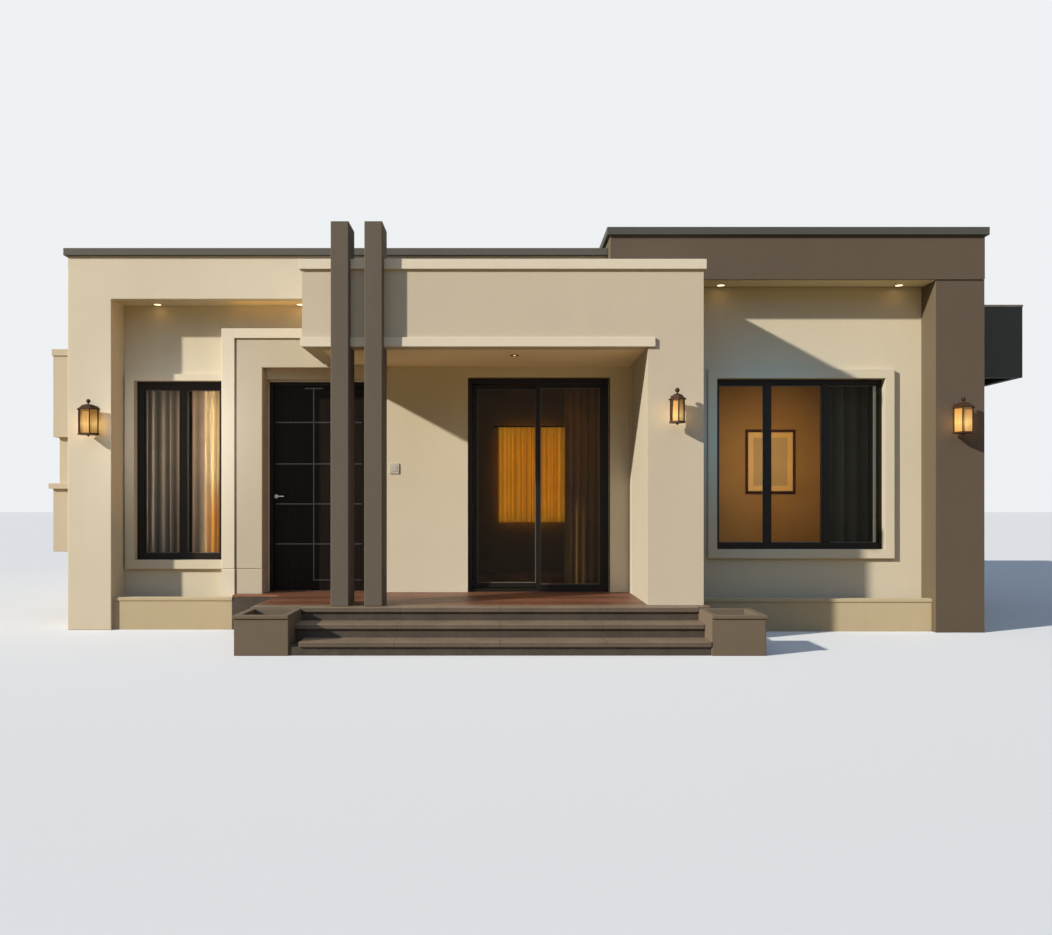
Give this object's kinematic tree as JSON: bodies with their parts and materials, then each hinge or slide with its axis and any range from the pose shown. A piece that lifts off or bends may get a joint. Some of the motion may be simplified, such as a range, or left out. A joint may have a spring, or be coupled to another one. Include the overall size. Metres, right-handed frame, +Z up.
{
  "type": "bungalow",
  "caption": "Flat-roofed rendered bungalow with framed wings, an open entrance porch with two fins, a hinged front door and a sliding patio door.",
  "frame": {"origin": "ground level, on the centre line of the entrance steps, halfway between the porch wall's outer face and the back wall's outer face", "axes": "+X to the right along the front as seen from the street, +Y from the front to the back, +Z up"},
  "size_m": [13.325, 11.516, 5.12],
  "materials": {
    "cream_render": "painted render, matt",
    "beige_render": "painted render, matt",
    "taupe_render": "painted render, matt",
    "taupe_coping": "painted coping, matt",
    "fin_render": "painted render, matt",
    "planter_render": "painted render, matt",
    "soffit_render": "painted plaster, matt",
    "step_stone": "honed stone",
    "concrete": "floated concrete",
    "roof_membrane": "grey roof screed",
    "room_paint": "painted plaster, matt",
    "deck_timber": "oiled hardwood boards",
    "door_leaf": "black stained, satin",
    "black_frame": "black powder coat, satin",
    "canopy_metal": "charcoal coat, satin",
    "handle_steel": "brushed",
    "lantern_bronze": "aged bronze",
    "lantern_glass": "warm frosted glass",
    "glass": "clear",
    "dark_glass": "tinted, gloss",
    "curtain_cloth": "woven cloth"
  },
  "bodies": {
    "house": {"floor_slab": "concrete", "porch_base": "step_stone", "porch_deck": "deck_timber", "step_treads": "step_stone", "box_planter_left": "planter_render", "box_planter_right": "planter_render", "planter_left": "cream_render", "planter_right": "cream_render", "front_wall_left": "cream_render", "door_head_wall": "cream_render", "porch_wall_middle": "cream_render", "patio_head_wall": "cream_render", "porch_wall_right": "cream_render", "front_wall_right": "cream_render", "left_wall": "cream_render", "right_wall": "cream_render", "back_wall": "cream_render", "room_wall": "room_paint", "left_frame_leg": "cream_render", "front_beam": "cream_render", "right_column": "taupe_render", "right_fascia": "taupe_render", "roof_slab": "roof_membrane", "roof_divider": "cream_render", "left_coping": "taupe_coping", "right_coping": "taupe_coping", "portico_pier": "beige_render", "portico_front": "beige_render", "portico_side": "beige_render", "portico_roof": "soffit_render", "portico_coping": "cream_render", "portico_band": "cream_render", "fin_left": "fin_render", "fin_right": "fin_render", "surround_band": "cream_render", "surround_panel": "beige_render", "door_frame": "black_frame", "patio_frame": "black_frame", "patio_fixed_glass": "glass", "left_window_frame": "black_frame", "right_window_frame": "black_frame", "front_glass": "glass", "side_window_frames": "black_frame", "side_glass": "glass", "side_bay": "cream_render", "bay_glazing": "dark_glass", "side_canopy": "canopy_metal", "wall_lanterns": "lantern_bronze", "lantern_glasses": "lantern_glass", "curtain_rods": "lantern_bronze", "curtains": "curtain_cloth"},
    "front_door": {"front_door": "door_leaf", "door_handle": "handle_steel"},
    "patio_leaf": {"patio_sash": "black_frame", "patio_sash_glass": "glass"}
  },
  "joints": [
    {"name": "front_door_hinge", "type": "hinge", "parent": "house", "child": "front_door", "pos_m": [-1.829, -4.234, 0.45], "axis": [0, 0, -1], "range_deg": [0, 100]},
    {"name": "patio_door_slide", "type": "slide", "parent": "house", "child": "patio_leaf", "axis": [1, 0, 0], "range_m": [0, 0.82]}
  ]
}
